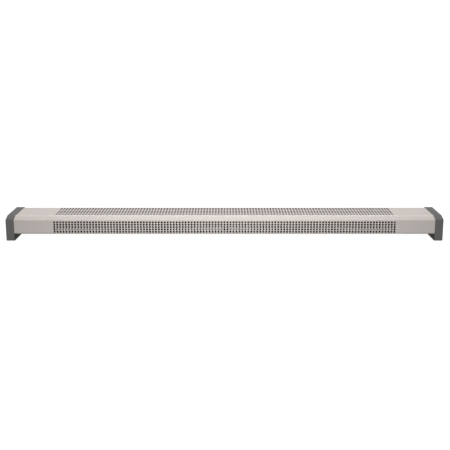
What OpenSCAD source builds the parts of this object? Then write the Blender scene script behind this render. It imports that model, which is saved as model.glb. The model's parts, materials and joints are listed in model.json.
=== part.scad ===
// Low plinth heater: a folded, perforated steel casing held between two moulded end caps
// that are also its feet, with a finned heating element inside. Millimetres, front towards -Y,
// origin on the floor under the middle of the heater.

/* [Overall] */
// Length over both end caps
overall_l = 1466; // [900:1:2000]
// Height of the end caps above the floor
overall_h = 85; // [80:1:120]
// Depth of the end caps, front to back
overall_d = 72; // [68:1:110]

/* [End caps] */
// Width of one end cap
cap_w = 28; // [22:1:45]
// Wall of the moulded end caps
cap_wall = 2.5; // [2:0.1:3.5]
// Height of the slope at the cap's upper front edge
cap_slope_h = 9; // [6:0.5:14]
// Depth of the slope at the cap's upper front edge
cap_slope_d = 14; // [8:0.5:20]
// Rounding of the cap's outer edges
cap_edge_r = 2.2; // [1:0.1:3]
// How far the caps stand in front of the casing
cap_proud_front = 1.3; // [0.5:0.1:3]
// How far the caps stand above the casing
cap_proud_top = 1.5; // [0.5:0.1:3]
// How far the caps stand behind the casing
cap_proud_back = 3; // [2.6:0.1:5]
// Thickness of the ribs inside the caps
rib_t = 1.6; // [1.2:0.1:2.4]

/* [Casing] */
// Height of the casing above the floor
casing_gap = 25; // [18:1:35]
// Thickness of the sheet steel
sheet_t = 1; // [0.7:0.1:1.5]
// Inside radius of the bends in sheet steel
bend_r = 0.8; // [0.5:0.1:1.5]
// Height of the casing's upper front slope
slope_h = 10.3; // [6:0.1:14]
// Depth of the casing's upper front slope
slope_d = 11; // [6:0.5:16]
// Width of the lip turned in under the casing's front
lip_w = 14; // [12:0.5:18]
// Height of the lip turned down at the casing's back
rear_lip_h = 12; // [10:0.5:16]

/* [Grille] */
// Diameter of the punched holes
hole_d = 7; // [3:0.5:7]
// Pitch of the holes along the heater
column_pitch = 10; // [9:0.5:16]
// Pitch of the rows in the front
front_row_pitch = 8.3; // [8:0.1:14]
// Pitch of the rows in the top
top_row_pitch = 10; // [9:0.5:16]
// Plain length from an end cap to the first column
plain_end_l = 135; // [125:1:180]
// Lowest front row above the casing's bottom
row_low = 7.8; // [7:0.1:12]
// Least distance from the upper front row to the slope
row_high = 6.5; // [6.5:0.5:12]
// First top row behind the slope
row_front = 10.2; // [7:0.1:14]
// Least distance from the last top row to the casing's back
row_back = 6; // [5.5:0.5:12]

/* [Heating element] */
// Diameter of the element's sheath
sheath_d = 8.5; // [6.5:0.5:10]
// Distance between the element's two legs, as a share of the casing's depth
leg_gap_share = 0.414; // [0.38:0.002:0.44]
// Depth of a fin, as a share of the casing's depth
fin_depth_share = 0.74; // [0.66:0.01:0.76]
// Height of a fin, as a share of the room for it above the tray's floor
fin_height_share = 0.63; // [0.5:0.01:0.75]
// Thickness of a fin
fin_t = 0.6; // [0.4:0.1:1]
// Pitch of the fins
fin_pitch = 10; // [8:0.5:14]

/* [Wiring end] */
// Length of the closed compartment at each end of the casing
compartment_l = 110; // [105:1:120]
// Distance from the casing's end to the wall fixing holes
wall_in = 60; // [50:1:90]
// Distance between the wall fixing holes, up the back
wall_rise = 28; // [20:1:30]
// Diameter of the wall fixing holes
wall_hole_d = 5.5; // [4:0.5:7]
// Bore of the cable grommet
cable_d = 9; // [7:0.5:10]
// Outer diameter of the insulated wires
wire_d = 2.8; // [2:0.1:3.4]

/* [Hidden] */

// Overrun of every cut
over = 1;
// Thickness of the slices that a rounded shell is drawn between
skin = 0.01;
// Gap between sheets that lie on each other
nest = 0.2;
// Play of a screw, stud or rivet in its hole
play = 0.15;
// Blind rivets
rivet_d = 3.2;
rivet_head_d = 6;
rivet_head_h = 1;
// Sides of a true round
round_fn = 48;
// Steps of a bend in sheet, of a moulded corner and of a moulded edge
bend_steps = 4;
corner_steps = 8;
edge_steps = 4;
// Half angle above which a corner counts as straight
straight_a = 89.9;
right_angle = 90;

// Casing outline, seen from its end: y to the back, z up
casing_l = overall_l - 2 * cap_w;
front_y = -overall_d / 2 + cap_proud_front;
back_y = overall_d / 2 - cap_proud_back;
top_z = overall_h - cap_proud_top;
crease_z = top_z - slope_h;
crease_y = front_y + slope_d;
outer_r = bend_r + sheet_t;

// Folded tray that carries everything
tray_z = casing_gap + sheet_t + nest;
tray_front_y = front_y + sheet_t + nest;
tray_back_y = back_y - sheet_t - nest;
tray_top_z = top_z - sheet_t - nest;
floor_z = tray_z + sheet_t;
wall_y = tray_back_y - sheet_t;
tray_l = casing_l - 2 * nest;
wall_fix_x = casing_l / 2 - wall_in;
wall_fix_z = (tray_z + top_z - rear_lip_h) / 2;

// Grille
grille_l = casing_l - 2 * plain_end_l;
columns = floor(grille_l / column_pitch) + 1;
front_rows = floor((crease_z - casing_gap - row_low - row_high) / front_row_pitch) + 1;
top_rows = floor((back_y - crease_y - row_front - row_back) / top_row_pitch) + 1;
column_xs = [for (i = [0 : columns - 1]) (i - (columns - 1) / 2) * column_pitch];
front_row_zs = [for (j = [0 : front_rows - 1]) casing_gap + row_low + j * front_row_pitch];
top_row_ys = [for (j = [0 : top_rows - 1]) crease_y + row_front + j * top_row_pitch];

// Plates across the casing
plate_z = floor_z + nest;
plate_back_y = wall_y - bend_r;
flange_w = 14;
end_plate_x = casing_l / 2 - nest;
partition_x = casing_l / 2 - compartment_l;
flange_xs = [for (side = [-1, 1]) each [side * (end_plate_x - sheet_t - flange_w / 2),
  side * (partition_x + sheet_t + flange_w / 2)]];

// Element: the height left free by its fittings and the cut-out is shared out around them
bush_d = 13;
bush_collar_d = 18;
bush_collar_t = 3;
bush_out_l = 12;
bush_nut_across = 17;
bush_nut_t = 4;
cutout_d = 15;
free_h = tray_top_z - floor_z - bush_nut_across - cutout_d;
under_share = 0.66;
between_share = 0.23;
element_z = floor_z + under_share * free_h + bush_nut_across / 2;
cutout_z = element_z + bush_nut_across / 2 + between_share * free_h + cutout_d / 2;
element_y = (front_y + back_y) / 2;
leg_gap = leg_gap_share * (back_y - front_y);
leg_ys = [element_y - leg_gap / 2, element_y + leg_gap / 2];
bend_out_l = 12;
bend_x = -partition_x - bend_out_l;
sheath_out_l = 2;
insulator_d = 6.5;
insulator_l = 8;
insulator_rib_d = 9;
insulator_rib_t = 1.2;
pin_d = 4;
pin_l = 16;
pin_nut_across = 7;
pin_nut_t = 3;
sheath_end_x = partition_x + sheet_t + bush_out_l + sheath_out_l;
pin_x = sheath_end_x + insulator_l;
pin_ring_x = pin_x + pin_l / 2;
fin_d = fin_depth_share * (back_y - front_y);
fin_h = fin_height_share * 2 * (element_z - floor_z);
fin_margin = 30;
fins = floor((2 * partition_x - 2 * fin_margin) / fin_pitch) + 1;
fin_collar_t = 0.5;
fin_collar_l = 3;
fin_xs = [for (i = [0 : fins - 1]) (i - (fins - 1) / 2) * fin_pitch];

// Element brackets stand midway between two fins
bracket_shares = [0.17, 0.5, 0.83];
bracket_t = 1.2;
bracket_foot = 12;
bracket_rim = 5;
bracket_xs = [for (s = bracket_shares) fin_xs[floor(s * (fins - 1))] + fin_pitch / 2];
bracket_w = leg_gap + sheath_d + 2 * bracket_rim;
bracket_rivet_clear = 3;
bracket_rivet_y = element_y - front_y - lip_w - rivet_head_d / 2 - bracket_rivet_clear;

// Air inlets in the tray, under the columns of the grille
inlet_d = 4;
inlet_row_pitch = 12;
inlet_rows = 3;
inlet_clear = 1;
rear_clear = 8;
inlet_y = element_y + (lip_w - rear_clear) / 2;
inlet_ys = [for (j = [0 : inlet_rows - 1]) inlet_y + (j - (inlet_rows - 1) / 2) * inlet_row_pitch];

// Heat shield
shield_t = 0.6;
shield_stand = 3;
shield_flange = 8;
shield_slope = 2;
shield_margin = 2;
shield_low_z = plate_z + shield_margin;
shield_high_z = top_z - rear_lip_h - shield_margin;
shield_end = 6;
shield_l = 2 * partition_x - 2 * shield_end;
shield_rivet_shares = [0.04, 0.35, 0.65, 0.96];
shield_rivet_xs = [for (s = shield_rivet_shares) (s - 0.5) * shield_l];
shield_rivet_zs = [shield_low_z + shield_flange / 2, shield_high_z - shield_flange / 2];

// Screws
screw_d = 3.9;
screw_head_d = 7.5;
screw_head_h = 2.4;
screw_l = 9.5;
small_screw_d = 2.9;
small_head_d = 5.6;
small_head_h = 1.8;
short_screw_l = 5;
head_flat_share = 0.55;
cross_w_share = 0.16;

// Cap inside and its fixings: places as shares of the casing's depth and height
cap_front_r = 7;
cap_top_r = 7;
cap_back_r = 3;
web_z = casing_gap + cap_wall;
boss_d = 9;
boss_shares = [[0.2, 0.24], [0.8, 0.24], [0.62, 0.78]];
boss_depth = 14;
boss_yzs = [for (s = boss_shares) [front_y + s[0] * (back_y - front_y),
  casing_gap + s[1] * (top_z - casing_gap)]];
rib_set = 6;
cap_bottom_z = 1;
pad_d = 14;
pad_h = 3;
pad_stem_d = 6;
pad_stem_l = 6;
pad_boss_d = 10;
pad_shares = [0.2, 0.8];
pad_ys = [for (s = pad_shares) (s - 0.5) * overall_d];

// Cover screws: in the lip under the front and in the lip at the back
cover_screw_in = 9;
cover_screw_xs = [0, for (side = [-1, 1]) each [side * (end_plate_x - sheet_t - cover_screw_in),
  side * (partition_x + sheet_t + cover_screw_in)]];
lip_screw_y = front_y + lip_w / 2;
rear_screw_z = top_z - rear_lip_h / 2 - sheet_t / 2;

// Rivets of the plates' flanges to the tray
flange_rivet_shares = [0.42, 0.86];
flange_rivet_ys = [for (s = flange_rivet_shares)
  tray_front_y + s * (plate_back_y - tray_front_y)];

// Thermal cut-out on the right partition
cutout_h = 9;
cutout_flange_l = 32;
cutout_flange_w = 7.5;
cutout_flange_t = 1.2;
cutout_screw_gap = 24;
tab_w = 6.3;
tab_t = 0.8;
tab_l = 8;
tab_gap = 8;
cutout_face_x = partition_x + sheet_t;
tab_x = cutout_face_x + cutout_h;

// Terminal block on the tray's floor
block_ways = 3;
block_pitch = 10;
block_l = 22;
block_h = 15;
block_base_h = 4;
block_side = 6;
block_groove = 1;
block_w = block_ways * block_pitch + 2 * block_side;
block_end_l = 40;
block_x = casing_l / 2 - block_end_l;
block_y = element_y;
clamp_d = 6;
clamp_bore = 3.8;
clamp_l = 18;
clamp_z = floor_z + block_base_h + clamp_d / 2;
block_screw_gap = block_ways * block_pitch + block_side;
way_ys = [for (i = [0 : block_ways - 1]) block_y + (i - (block_ways - 1) / 2) * block_pitch];

// Earth stud on the tray's floor
stud_d = 4;
stud_l = 14;
stud_in = 22;
stud_back = 11;
stud_x = partition_x + stud_in;
stud_y = wall_y - stud_back;
washer_d = 9;
washer_t = 0.8;
earth_ring_z = floor_z + washer_t;

// Cable grommet in the tray's back
grommet_end_l = 22;
grommet_up = 22;
grommet_x = casing_l / 2 - grommet_end_l;
grommet_z = casing_gap + grommet_up;
grommet_lip = 2.2;
grommet_web = 1.6;

// Ends of the wires
ring_d = 8.5;
ring_t = 0.8;
ring_neck = 4;
barrel_d = 4.4;
barrel_l = 6;
receptacle_h = 3;
receptacle_l = 9.5;
receptacle_gap = 1;
wire_in = 4;
wire_sides = 8;
wire_steps = 18;
wire_lead = 8;
wire_start = 6;
wire_bow = 12;
wire_bow_share = 0.3;

function unit(v) = v / norm(v);
function left(v) = [-v.y, v.x];
function turn(v, a) = [v.x * cos(a) - v.y * sin(a), v.x * sin(a) + v.y * cos(a)];
function reversed(list) = [for (i = [len(list) - 1 : -1 : 0]) list[i]];

// Arc that rounds the corner b between a and c
function corner(a, b, c, r, steps) =
  let (u = unit(a - b), w = unit(c - b), half = acos(u * w) / 2,
    centre = b + unit(u + w) * r / sin(half), from = b + u * r / tan(half) - centre,
    sweep = (180 - 2 * half) * sign(cross(b - a, c - b)))
  r <= 0 || half > straight_a ? [b]
    : [for (i = [0 : steps]) centre + turn(from, sweep * i / steps)];

// Closed outline with one radius per corner
function rounded(points, radii) = let (n = len(points)) [for (i = [0 : n - 1])
  each corner(points[(i + n - 1) % n], points[i], points[(i + 1) % n], radii[i], corner_steps)];

// Path moved to its left by t, ends square
function beside(path, t) = let (n = len(path)) [for (i = [0 : n - 1])
  let (before = i > 0 ? left(unit(path[i] - path[i - 1])) : left(unit(path[1] - path[0])),
    after = i < n - 1 ? left(unit(path[i + 1] - path[i])) : before)
  path[i] + t * (before + after) / (1 + before * after)];

// Path with its bends rounded: near_r where it turns left, far_r where it turns right
function bent(path, near_r, far_r) = let (n = len(path)) [path[0],
  for (i = [1 : n - 2]) each corner(path[i - 1], path[i], path[i + 1],
    cross(path[i] - path[i - 1], path[i + 1] - path[i]) > 0 ? far_r : near_r, bend_steps), path[n - 1]];

// Outline of sheet of thickness t bent along a path, the sheet lying to the path's left
function sheet_outline(path, t) = concat(bent(path, bend_r, bend_r + t),
  reversed(bent(beside(path, t), bend_r + t, bend_r)));

// End outline of a box with a sloped upper front edge, moved in by inset on all sides
function slope_outline(y0, y1, z0, z1, sd, sh, inset) =
  let (run = norm([sd, sh]), y_in = y0 + sd + inset * (run - sd) / sh,
    z_in = z1 - sh - inset * (run - sh) / sd)
  [[y1 - inset, z0], [y1 - inset, z1 - inset], [y_in, z1 - inset], [y0 + inset, z_in], [y0 + inset, z0]];

// Point at share t of a wire that leaves p0 along d0 and arrives at p1 against d1
function bow(p0, d0, p1, d1, t) =
  let (a = p0 + d0 * wire_start, b = p1 + d1 * (wire_bow + wire_bow_share * norm(p1 - p0)), s = 1 - t)
  s * s * s * p0 + 3 * s * s * t * a + 3 * s * t * t * b + t * t * t * p1;

module along_x(l) {
  translate([-l / 2, 0, 0]) rotate([90, 0, 90]) linear_extrude(l) children();
}

module along_y(l) {
  translate([0, l / 2, 0]) rotate([90, 0, 0]) linear_extrude(l) children();
}

// Round bar towards +X
module bar_x(d, l) {
  rotate([0, 90, 0]) cylinder(d = d, h = l, $fn = round_fn);
}

// Round bar towards +Y
module bar_y(d, l) {
  rotate([-90, 0, 0]) cylinder(d = d, h = l, $fn = round_fn);
}

module hexagon(across) {
  circle(d = across / cos(30), $fn = 6);
}

// Flat slot with round ends, centred, along x
module slot(l, w) {
  square([l - w, w], center = true);
  for (side = [-1, 1]) translate([side * (l - w) / 2, 0]) circle(d = w, $fn = round_fn);
}

// Pan-head screw: head below z = 0, shank above it, with a cross recess
module screw(d, head_d, head_h, l) {
  difference() {
    rotate_extrude($fn = round_fn)
      polygon([[0, -head_h], [head_d * head_flat_share / 2, -head_h], [head_d / 2, -head_h / 2],
        [head_d / 2, 0], [d / 2, 0], [d / 2, l - d / 2], [0, l]]);
    for (a = [0, 90]) rotate(a) translate([0, 0, -head_h])
      cube([head_d * head_flat_share, head_d * cross_w_share, head_h], center = true);
  }
}

// Blind rivet through sheets of thickness grip: flanged head below z = 0, set end above
module rivet(grip) {
  rotate_extrude($fn = round_fn)
    polygon([[0, -rivet_head_h], [rivet_d / 2, -rivet_head_h], [rivet_head_d / 2, 0], [rivet_d / 2, 0],
      [rivet_d / 2, grip], [rivet_head_d / 2 - play, grip], [rivet_d / 2, grip + rivet_head_h],
      [0, grip + rivet_head_h]]);
}

// Folded casing in one piece, then punched
module perforated_cover() {
  color([0.8, 0.76, 0.74]) difference() {
    along_x(casing_l) polygon(sheet_outline([[back_y, top_z - rear_lip_h], [back_y, top_z],
      [crease_y, top_z], [front_y, crease_z], [front_y, casing_gap], [front_y + lip_w, casing_gap]],
      sheet_t));
    translate([0, front_y + sheet_t + over, 0]) rotate([90, 0, 0]) linear_extrude(sheet_t + 2 * over)
      for (x = column_xs, z = front_row_zs) translate([x, z]) circle(d = hole_d, $fn = round_fn);
    translate([0, 0, top_z - sheet_t - over]) linear_extrude(sheet_t + 2 * over)
      for (x = column_xs, y = top_row_ys) translate([x, y]) circle(d = hole_d, $fn = round_fn);
    for (x = cover_screw_xs) {
      translate([x, lip_screw_y, casing_gap - over])
        cylinder(d = screw_d + 2 * play, h = sheet_t + 2 * over, $fn = round_fn);
      translate([x, back_y - sheet_t - over, rear_screw_z])
        bar_y(screw_d + 2 * play, sheet_t + 2 * over);
    }
  }
}

// Is an inlet at x clear of the feet of all the brackets?
function clear_of_brackets(x) =
  min([for (b = bracket_xs) abs(x - b - bracket_foot / 2)]) > (bracket_foot + inlet_d) / 2 + inlet_clear;

module tray_floor() {
  translate([0, 0, tray_z]) linear_extrude(sheet_t)
    difference() {
      translate([-tray_l / 2, tray_front_y])
        square([tray_l, tray_back_y - outer_r - tray_front_y]);
      for (x = column_xs, y = inlet_ys)
        if (clear_of_brackets(x)) translate([x, y]) circle(d = inlet_d, $fn = round_fn);
      for (x = cover_screw_xs) translate([x, lip_screw_y]) circle(d = screw_d + play, $fn = round_fn);
      for (x = flange_xs, y = flange_rivet_ys)
        translate([x, y]) circle(d = rivet_d + 2 * play, $fn = round_fn);
      for (x = bracket_xs, side = [-1, 1])
        translate([x + bracket_foot / 2, element_y + side * bracket_rivet_y])
          circle(d = rivet_d + 2 * play, $fn = round_fn);
      for (side = [-1, 1]) translate([block_x, block_y + side * block_screw_gap / 2])
        circle(d = small_screw_d + play, $fn = round_fn);
    }
}

module tray_wall() {
  translate([0, tray_back_y, 0]) rotate([90, 0, 0]) linear_extrude(sheet_t)
    difference() {
      translate([-tray_l / 2, tray_z + outer_r]) square([tray_l, tray_top_z - tray_z - outer_r]);
      for (sx = [-1, 1], sz = [-1, 1]) translate([sx * wall_fix_x, wall_fix_z + sz * wall_rise / 2])
        circle(d = wall_hole_d, $fn = round_fn);
      for (x = cover_screw_xs) translate([x, rear_screw_z]) circle(d = screw_d + play, $fn = round_fn);
      for (x = shield_rivet_xs, z = shield_rivet_zs)
        translate([x, z]) circle(d = rivet_d + 2 * play, $fn = round_fn);
      translate([grommet_x, grommet_z]) circle(d = cable_d + 2 * grommet_web, $fn = round_fn);
    }
}

module chassis_tray() {
  color([0.2, 0.2, 0.21]) {
    tray_floor();
    tray_wall();
    along_x(tray_l) polygon(sheet_outline([[tray_back_y - outer_r, tray_z], [tray_back_y, tray_z],
      [tray_back_y, tray_z + outer_r]], sheet_t));
  }
}

// Outline of a cap moved in by inset, with its corners rounded
function cap_outline(inset) =
  let (raw = slope_outline(-overall_d / 2, overall_d / 2, cap_bottom_z + inset, overall_h,
    cap_slope_d, cap_slope_h, inset))
  rounded(raw, [for (r = [cap_back_r, cap_back_r, cap_top_r, cap_front_r, cap_back_r]) max(r - inset, 0)]);

// Slab of the cap's outline, moved in by inset, from x to x + l
module cap_slab(x, l, inset) {
  translate([x, 0, 0]) rotate([90, 0, 90]) linear_extrude(l) polygon(cap_outline(inset));
}

// Cap cavity above the web that carries the casing's end, seen from the casing
module cap_cavity() {
  intersection() {
    polygon(cap_outline(cap_wall));
    translate([-overall_d / 2, web_z]) square([overall_d, overall_h]);
  }
}

// Right-hand cap, its inner face at x = 0
module cap() {
  difference() {
    hull() {
      cap_slab(0, cap_w - cap_edge_r, 0);
      for (i = [1 : edge_steps]) let (a = right_angle * i / edge_steps)
        cap_slab(cap_w - cap_edge_r * (1 - sin(a)) - skin, skin, cap_edge_r * (1 - cos(a)));
    }
    translate([-over, 0, 0]) rotate([90, 0, 90]) linear_extrude(over + rib_set)
      difference() {
        cap_cavity();
        for (p = boss_yzs) translate(p) circle(d = boss_d, $fn = round_fn);
      }
    translate([rib_set, 0, 0]) rotate([90, 0, 90]) linear_extrude(cap_w - cap_wall - rib_set)
      difference() {
        cap_cavity();
        for (p = boss_yzs) translate(p) circle(d = boss_d, $fn = round_fn);
        for (p = boss_yzs) translate([p.x - rib_t / 2, 0]) square([rib_t, overall_h]);
        translate([-overall_d / 2, boss_yzs[2].y - rib_t / 2]) square([overall_d, rib_t]);
      }
    translate([0, 0, cap_bottom_z - over]) linear_extrude(casing_gap - cap_bottom_z + over)
      difference() {
        translate([cap_wall, -overall_d / 2 + cap_wall])
          square([cap_w - 2 * cap_wall, overall_d - 2 * cap_wall]);
        for (y = pad_ys) translate([cap_w / 2, y]) circle(d = pad_boss_d, $fn = round_fn);
        for (y = pad_ys) translate([0, y - rib_t / 2]) square([cap_w, rib_t]);
        translate([cap_w / 2 - rib_t / 2, -overall_d / 2]) square([rib_t, overall_d]);
      }
    for (y = pad_ys) translate([cap_w / 2, y, 0]) {
      cylinder(d = pad_stem_d, h = pad_h + pad_stem_l + play, $fn = round_fn);
      cylinder(d = pad_d + 2 * play, h = pad_h, $fn = round_fn);
    }
    for (p = boss_yzs) translate([-over, p.x, p.y]) bar_x(screw_d, boss_depth + over);
  }
}

module right_end_cap() {
  color([0.36, 0.355, 0.35]) translate([casing_l / 2, 0, 0]) cap();
}

module left_end_cap() {
  color([0.36, 0.355, 0.35]) mirror([1, 0, 0]) translate([casing_l / 2, 0, 0]) cap();
}

// Rubber pads, pressed into the feet by their stems
module foot_pads() {
  color([0.12, 0.12, 0.12])
    for (side = [-1, 1], y = pad_ys) translate([side * (casing_l / 2 + cap_w / 2), y, 0]) {
      cylinder(d = pad_d, h = pad_h - play, $fn = round_fn);
      cylinder(d = pad_stem_d - play, h = pad_h + pad_stem_l, $fn = round_fn);
    }
}

// Plate across the casing with a flange folded along its foot.
// Its web starts at x = 0 and the flange runs towards +X; children() are cut from the web.
module cross_plate() {
  inset = sheet_t + nest;
  outline = slope_outline(front_y, back_y, plate_z + outer_r, top_z, slope_d, slope_h, inset);
  width = plate_back_y - tray_front_y;
  rotate([90, 0, 90]) linear_extrude(sheet_t)
    difference() {
      intersection() {
        polygon(outline);
        translate([tray_front_y, plate_z + outer_r]) square([width, top_z]);
      }
      children();
    }
  difference() {
    translate([0, (tray_front_y + plate_back_y) / 2, 0]) along_y(width)
      polygon(sheet_outline([[flange_w + sheet_t, plate_z + sheet_t], [sheet_t, plate_z + sheet_t],
        [sheet_t, plate_z + outer_r]], sheet_t));
    for (y = flange_rivet_ys) translate([sheet_t + flange_w / 2, y, plate_z - over])
      cylinder(d = rivet_d + 2 * play, h = sheet_t + 2 * over, $fn = round_fn);
    translate([sheet_t + cover_screw_in, lip_screw_y, plate_z - over])
      cylinder(d = screw_d + play, h = sheet_t + 2 * over, $fn = round_fn);
  }
}

module left_end_plate() {
  color([0.2, 0.2, 0.21]) translate([-end_plate_x, 0, 0]) cross_plate()
    for (p = boss_yzs) translate(p) circle(d = screw_d + 2 * play, $fn = round_fn);
}

module right_end_plate() {
  color([0.2, 0.2, 0.21]) mirror([1, 0, 0]) left_end_plate();
}

module left_partition() {
  color([0.2, 0.2, 0.21]) mirror([1, 0, 0]) translate([partition_x, 0, 0]) cross_plate()
    for (y = leg_ys) translate([y, element_z]) circle(d = sheath_d + 2 * play, $fn = round_fn);
}

module right_partition() {
  color([0.2, 0.2, 0.21]) translate([partition_x, 0, 0]) cross_plate() {
    for (y = leg_ys) translate([y, element_z]) circle(d = bush_d + 2 * play, $fn = round_fn);
    for (side = [-1, 1]) translate([element_y + side * cutout_screw_gap / 2, cutout_z])
      circle(d = small_screw_d + play, $fn = round_fn);
  }
}

module heat_shield() {
  stand_y = wall_y - shield_stand;
  color([0.45, 0.45, 0.45]) difference() {
    along_x(shield_l) polygon(sheet_outline([[wall_y, shield_low_z], [wall_y, shield_low_z + shield_flange],
      [stand_y, shield_low_z + shield_flange + shield_slope],
      [stand_y, shield_high_z - shield_flange - shield_slope],
      [wall_y, shield_high_z - shield_flange], [wall_y, shield_high_z]], shield_t));
    for (x = shield_rivet_xs, z = shield_rivet_zs) translate([x, wall_y - shield_t - over, z])
      bar_y(rivet_d + 2 * play, shield_t + 2 * over);
  }
}

// Hairpin element: two straight legs joined by a half turn at the left
module element_sheath() {
  color([0.5, 0.5, 0.5]) {
    for (y = leg_ys) translate([bend_x, y, element_z]) bar_x(sheath_d, sheath_end_x - bend_x);
    translate([bend_x, element_y, element_z]) rotate(90) rotate_extrude(angle = 180, $fn = round_fn)
      translate([leg_gap / 2, 0]) circle(d = sheath_d, $fn = round_fn);
  }
}

// One fin, its face at x = 0, with a drawn collar round each leg
module fin() {
  rotate([90, 0, 90]) linear_extrude(fin_t)
    difference() {
      translate([element_y - fin_d / 2, element_z - fin_h / 2]) square([fin_d, fin_h]);
      for (y = leg_ys) translate([y, element_z]) circle(d = sheath_d + play, $fn = round_fn);
    }
  for (y = leg_ys) translate([fin_t, y, element_z]) rotate([0, 90, 0]) linear_extrude(fin_collar_l)
    difference() {
      circle(d = sheath_d + play + 2 * fin_collar_t, $fn = round_fn);
      circle(d = sheath_d + play, $fn = round_fn);
    }
}

module element_fins() {
  color([0.24, 0.24, 0.25]) for (x = fin_xs) translate([x, 0, 0]) fin();
}

// Threaded bushes that hold the element in the right partition
module element_bushes() {
  color([0.78, 0.64, 0.36]) for (y = leg_ys) translate([partition_x - bush_collar_t, y, element_z])
    difference() {
      union() {
        bar_x(bush_collar_d, bush_collar_t);
        bar_x(bush_d, bush_collar_t + sheet_t + bush_out_l);
      }
      translate([-over, 0, 0]) bar_x(sheath_d + play, bush_collar_t + sheet_t + bush_out_l + 2 * over);
    }
}

module element_nuts() {
  color([0.78, 0.64, 0.36]) for (y = leg_ys) translate([partition_x + sheet_t, y, element_z])
    rotate([90, 0, 90]) linear_extrude(bush_nut_t) difference() {
      hexagon(bush_nut_across);
      circle(d = bush_d + play, $fn = round_fn);
    }
}

module element_insulators() {
  color([0.93, 0.92, 0.88]) for (y = leg_ys) translate([sheath_end_x, y, element_z])
    rotate([0, 90, 0]) rotate_extrude($fn = round_fn)
      polygon([[0, 0], [insulator_d / 2, 0], [insulator_d / 2, insulator_l / 2],
        [insulator_rib_d / 2, insulator_l / 2], [insulator_rib_d / 2, insulator_l / 2 + insulator_rib_t],
        [insulator_d / 2, insulator_l / 2 + insulator_rib_t], [insulator_d / 2, insulator_l],
        [0, insulator_l]]);
}

module element_pins() {
  color([0.7, 0.71, 0.72]) for (y = leg_ys) translate([pin_x, y, element_z]) bar_x(pin_d, pin_l);
}

// Nuts that clamp the ring terminals on the pins
module pin_nuts() {
  color([0.7, 0.71, 0.72]) for (y = leg_ys, x = [pin_ring_x - pin_nut_t, pin_ring_x + ring_t])
    translate([x, y, element_z]) rotate([90, 0, 90]) linear_extrude(pin_nut_t) difference() {
      hexagon(pin_nut_across);
      circle(d = pin_d + play, $fn = round_fn);
    }
}

// Bracket that carries both legs, riveted to the tray's floor
module element_bracket(x) {
  foot_z = plate_z;
  color([0.2, 0.2, 0.21]) translate([x, 0, 0]) {
    rotate([90, 0, 90]) linear_extrude(bracket_t) difference() {
      union() {
        translate([element_y - bracket_w / 2, foot_z + bend_r + bracket_t])
          square([bracket_w, element_z - foot_z - bend_r - bracket_t]);
        translate([element_y - leg_gap / 2, foot_z + bend_r + bracket_t])
          square([leg_gap, element_z - foot_z - bend_r - bracket_t + sheath_d / 2 + bracket_rim]);
        for (y = leg_ys) translate([y, element_z])
          circle(d = sheath_d + 2 * bracket_rim, $fn = round_fn);
      }
      for (y = leg_ys) translate([y, element_z]) circle(d = sheath_d + 2 * play, $fn = round_fn);
    }
    difference() {
      translate([0, element_y, 0]) along_y(bracket_w)
        polygon(sheet_outline([[bracket_foot, foot_z + bracket_t], [bracket_t, foot_z + bracket_t],
          [bracket_t, foot_z + bend_r + bracket_t]], bracket_t));
      for (side = [-1, 1])
        translate([bracket_foot / 2, element_y + side * bracket_rivet_y, foot_z - over])
          cylinder(d = rivet_d + 2 * play, h = bracket_t + 2 * over, $fn = round_fn);
    }
  }
}

module left_element_bracket() {
  element_bracket(bracket_xs[0]);
}

module middle_element_bracket() {
  element_bracket(bracket_xs[1]);
}

module right_element_bracket() {
  element_bracket(bracket_xs[2]);
}

// Disc thermostat: flange, drum and two tabs
module thermal_cutout() {
  color([0.2, 0.19, 0.18]) translate([cutout_face_x, element_y, cutout_z]) {
    rotate([90, 0, 90]) linear_extrude(cutout_flange_t) difference() {
      slot(cutout_flange_l, cutout_flange_w);
      for (side = [-1, 1]) translate([side * cutout_screw_gap / 2, 0])
        circle(d = small_screw_d + 2 * play, $fn = round_fn);
    }
    bar_x(cutout_d, cutout_h);
    for (side = [-1, 1])
      translate([cutout_h + tab_l / 2, side * tab_gap / 2, 0]) cube([tab_l, tab_t, tab_w], center = true);
  }
}

module terminal_block() {
  color([0.92, 0.9, 0.84]) translate([block_x, block_y, floor_z + nest]) difference() {
    translate([-block_l / 2, -block_w / 2, 0]) cube([block_l, block_w, block_h]);
    for (i = [0 : block_ways])
      translate([-block_l / 2 - over, (i - block_ways / 2) * block_pitch - block_groove / 2, block_base_h])
        cube([block_l + 2 * over, block_groove, block_h]);
    for (y = way_ys) translate([-block_l / 2 - over, y - block_y, clamp_z - floor_z - nest])
      bar_x(clamp_d + play, block_l + 2 * over);
    for (y = way_ys, side = [-1, 1])
      translate([side * clamp_l / 4, y - block_y, clamp_z - floor_z - nest])
        cylinder(d = small_head_d, h = block_h, $fn = round_fn);
    for (side = [-1, 1]) translate([0, side * block_screw_gap / 2, -over])
      cylinder(d = small_screw_d + 2 * play, h = block_h + 2 * over, $fn = round_fn);
  }
}

// Brass sleeves inside the block
module terminal_clamps() {
  color([0.8, 0.66, 0.36]) for (y = way_ys) translate([block_x - clamp_l / 2, y, clamp_z]) difference() {
    bar_x(clamp_d, clamp_l);
    translate([-over, 0, 0]) bar_x(clamp_bore, clamp_l + 2 * over);
    for (side = [-1, 1]) translate([clamp_l / 2 + side * clamp_l / 4, 0, 0])
      cylinder(d = small_screw_d + play, h = clamp_d, $fn = round_fn);
  }
}

// Clamping screws, two in each sleeve
module terminal_screws() {
  color([0.7, 0.71, 0.72]) for (y = way_ys, side = [-1, 1])
    translate([block_x + side * clamp_l / 4, y, clamp_z + clamp_d / 2 + nest]) rotate([180, 0, 0])
      screw(small_screw_d, small_head_d - 2 * play, small_head_h, (clamp_d - wire_d) / 2 + nest - play);
}

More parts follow.
